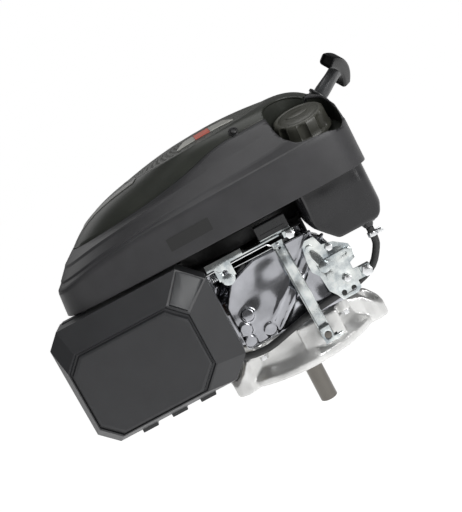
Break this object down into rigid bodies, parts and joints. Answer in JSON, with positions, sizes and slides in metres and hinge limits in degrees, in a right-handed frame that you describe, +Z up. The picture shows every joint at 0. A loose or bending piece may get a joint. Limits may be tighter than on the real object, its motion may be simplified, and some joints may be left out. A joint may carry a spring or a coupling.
{
  "type": "small gasoline engine",
  "caption": "Vertical-shaft air-cooled gasoline engine with a moulded shroud, recoil starter, side air cleaner, fuel tank and a bolt-down mounting flange.",
  "frame": {"origin": "crankshaft axis in the plane of the mounting face", "axes": "+Z up along the crankshaft, -Y towards the carburettor and governor side, -X towards the cylinder head"},
  "size_m": [0.4426, 0.3254, 0.377],
  "materials": {
    "cast_aluminium": "satin",
    "machined_steel": "satin",
    "zinc_plate": "satin",
    "bright_bolt": "polished",
    "shroud_plastic": "satin",
    "cover_plastic": "satin",
    "air_box_plastic": "satin",
    "black_plastic": "gloss",
    "black_rubber": "matte",
    "gasket": "matte",
    "brown_seal": "matte",
    "brass_plate": "satin",
    "filter_paper": "matte",
    "muffler_steel": "matte",
    "badge_silver": "satin",
    "cord": "matte",
    "black_steel": "satin",
    "nylon": "satin"
  },
  "bodies": {
    "engine": {"sump": "cast_aluminium", "crankcase_gasket": "gasket", "sump_bolts": "bright_bolt", "crankcase": "cast_aluminium", "head_gasket": "gasket", "cylinder_head": "cast_aluminium", "head_bolts": "bright_bolt", "rocker_cover": "black_steel", "valve_train": "machined_steel", "valve_springs": "zinc_plate", "spark_plug": "bright_bolt", "ignition_lead": "black_rubber", "ignition_coil": "black_plastic", "lower_oil_seal": "brown_seal", "upper_oil_seal": "brown_seal", "drain_plug": "bright_bolt", "oil_filler_tube": "black_plastic", "baffle_plate": "black_steel", "shroud": "shroud_plastic", "top_cover": "cover_plastic", "vent_screen": "cover_plastic", "cover_screws": "bright_bolt", "cover_badge": "badge_silver", "rope_guide": "black_plastic", "recoil_housing": "black_plastic", "recoil_spring": "machined_steel", "starter_rope": "cord", "fuel_tank": "black_plastic", "hose_clamps": "bright_bolt", "fuel_hose": "black_rubber", "carburetor": "cast_aluminium", "float_bowl": "brass_plate", "intake_insulator": "brown_seal", "air_box_base": "black_plastic", "air_filter": "filter_paper", "muffler": "muffler_steel", "muffler_guard": "black_steel", "control_bracket": "zinc_plate", "control_plate": "zinc_plate", "bracket_screws": "bright_bolt", "piston": "cast_aluminium"},
    "crank": {"crankshaft": "machined_steel", "flywheel": "cast_aluminium"},
    "rod": {"connecting_rod": "cast_aluminium"},
    "cam": {"camshaft": "machined_steel"},
    "governor_spindle": {"governor_gear": "nylon"},
    "governor": {"governor_shaft": "machined_steel", "governor_arm": "zinc_plate"},
    "link": {"throttle_link": "bright_bolt", "link_spring": "bright_bolt"},
    "throttle": {"throttle_lever": "zinc_plate"},
    "choke": {"choke_lever": "zinc_plate"},
    "speed_lever": {"control_lever": "zinc_plate"},
    "pulley": {"recoil_pulley": "black_plastic"},
    "handle": {"starter_handle": "black_plastic"},
    "cap_lifted": {"fuel_cap_gasket": "black_rubber"},
    "cap": {"fuel_cap": "cover_plastic"},
    "air_cover": {"air_box_cover": "air_box_plastic"},
    "latch": {"cover_latch": "air_box_plastic"},
    "dipstick": {"dipstick": "black_plastic"}
  },
  "joints": [
    {"name": "crank_spin", "type": "hinge", "parent": "engine", "child": "crank", "pos_m": [0, 0, 0], "axis": [0, 0, 1], "continuous": true},
    {"name": "rod_turn", "type": "hinge", "parent": "crank", "child": "rod", "pos_m": [-0.021, 0, 0.105], "axis": [0, 0, 1], "continuous": true},
    {"name": "cam_spin", "type": "hinge", "parent": "engine", "child": "cam", "pos_m": [0, 0.0495, 0], "axis": [0, 0, 1], "continuous": true},
    {"name": "governor_gear_spin", "type": "hinge", "parent": "engine", "child": "governor_spindle", "pos_m": [0.04607, 0.03603, 0], "axis": [0, 0, 1], "continuous": true},
    {"name": "governor_swing", "type": "hinge", "parent": "engine", "child": "governor", "pos_m": [0.028, -0.105, 0.03], "axis": [0, 1, 0], "range_deg": [-5, 5]},
    {"name": "link_turn", "type": "hinge", "parent": "governor", "child": "link", "pos_m": [0.025, -0.105, 0.145], "axis": [0, 1, 0], "range_deg": [-5, 5]},
    {"name": "throttle_turn", "type": "hinge", "parent": "engine", "child": "throttle", "pos_m": [-0.14, -0.081, 0.121], "axis": [0, 0, 1], "range_deg": [-32, 32]},
    {"name": "choke_turn", "type": "hinge", "parent": "engine", "child": "choke", "pos_m": [-0.114, -0.093, 0.112], "axis": [1, 0, 0], "range_deg": [0, 70]},
    {"name": "speed_lever_turn", "type": "hinge", "parent": "engine", "child": "speed_lever", "pos_m": [0.059, -0.1015, 0.098], "axis": [0, 1, 0], "range_deg": [-12, 18]},
    {"name": "pulley_turn", "type": "hinge", "parent": "engine", "child": "pulley", "pos_m": [0, 0, 0.238], "axis": [0, 0, 1], "range_deg": [0, 1250]},
    {"name": "starter_pull", "type": "slide", "parent": "engine", "child": "handle", "axis": [0.866, 0, 0.5], "range_m": [0, 0.6]},
    {"name": "cap_lift", "type": "slide", "parent": "engine", "child": "cap_lifted", "axis": [0, -0.2924, 0.9563], "range_m": [0, 0.06]},
    {"name": "cap_turn", "type": "hinge", "parent": "cap_lifted", "child": "cap", "pos_m": [0.108, -0.088, 0.228], "axis": [0, -0.2924, 0.9563], "range_deg": [0, 90]},
    {"name": "air_cover_open", "type": "hinge", "parent": "engine", "child": "air_cover", "pos_m": [-0.149, -0.115, 0.042], "axis": [1, 0, 0], "range_deg": [0, 95]},
    {"name": "latch_release", "type": "hinge", "parent": "air_cover", "child": "latch", "pos_m": [-0.07336, -0.15595, 0.16692], "axis": [-0.7071, 0, 0.7071], "range_deg": [0, 50]},
    {"name": "dipstick_pull", "type": "slide", "parent": "engine", "child": "dipstick", "axis": [0, 0.5736, 0.8192], "range_m": [0, 0.09]}
  ],
  "couplings": [
    {"joint": "rod_turn", "follows": "crank_spin", "ratio": -1},
    {"joint": "cam_spin", "follows": "crank_spin", "ratio": -0.5},
    {"joint": "governor_gear_spin", "follows": "crank_spin", "ratio": 1.1},
    {"joint": "link_turn", "follows": "governor_swing", "ratio": -1},
    {"joint": "throttle_turn", "follows": "governor_swing", "ratio": 6.1828},
    {"joint": "pulley_turn", "follows": "starter_pull", "rad_per_m": 35.714}
  ]
}
